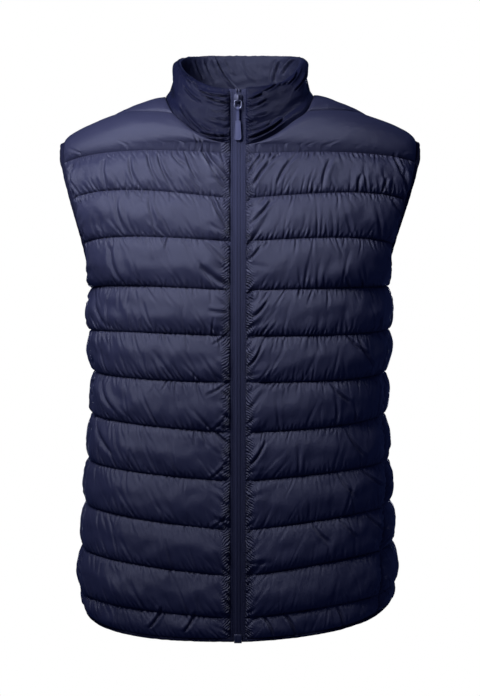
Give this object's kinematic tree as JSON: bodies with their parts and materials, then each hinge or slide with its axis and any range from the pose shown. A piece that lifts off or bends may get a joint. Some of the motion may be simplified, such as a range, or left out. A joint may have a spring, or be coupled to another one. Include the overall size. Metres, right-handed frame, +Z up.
{
  "type": "quilted down vest, worn shape",
  "caption": "Sleeveless quilted down vest with a stand collar and a full front zip, hollow as worn, neck, armholes and hem open.",
  "frame": {"origin": "middle of the neck base, at the level where the neck seam crosses the shoulders, which carry the vest", "axes": "+Z up, -Y out of the chest, +X to the viewer's right, which is the wearer's left"},
  "size_m": [0.4488, 0.2522, 0.7286],
  "materials": {
    "shell_nylon": "semi-gloss downproof nylon, navy",
    "lining_nylon": "semi-gloss nylon lining, navy",
    "binding_knit": "matt stretch binding, dark navy",
    "zip_tape": "woven zip tape, dark navy",
    "zip_metal": "dark painted zip metal",
    "pull_rubber": "moulded dark rubber"
  },
  "bodies": {
    "root": {"front_panel_right": "shell_nylon", "front_panel_left": "shell_nylon", "back_panel": "shell_nylon", "shoulder_yoke": "shell_nylon", "collar_outer": "shell_nylon", "collar_inner": "lining_nylon", "armhole_binding_right": "binding_knit", "armhole_binding_left": "binding_knit", "hem_binding": "binding_knit", "zip_tape_right": "zip_tape", "zip_tape_left": "zip_tape", "zip_slider": "zip_metal", "zip_stop_right": "zip_metal", "zip_stop_left": "zip_metal", "zip_box": "zip_metal"},
    "pull": {"pull_ring": "zip_metal", "pull_tab": "pull_rubber"}
  },
  "joints": [
    {"name": "pull_swing", "type": "hinge", "parent": "root", "child": "pull", "pos_m": [0, -0.08922, -0.0124], "axis": [-1, 0, 0], "range_deg": [0, 150]}
  ]
}
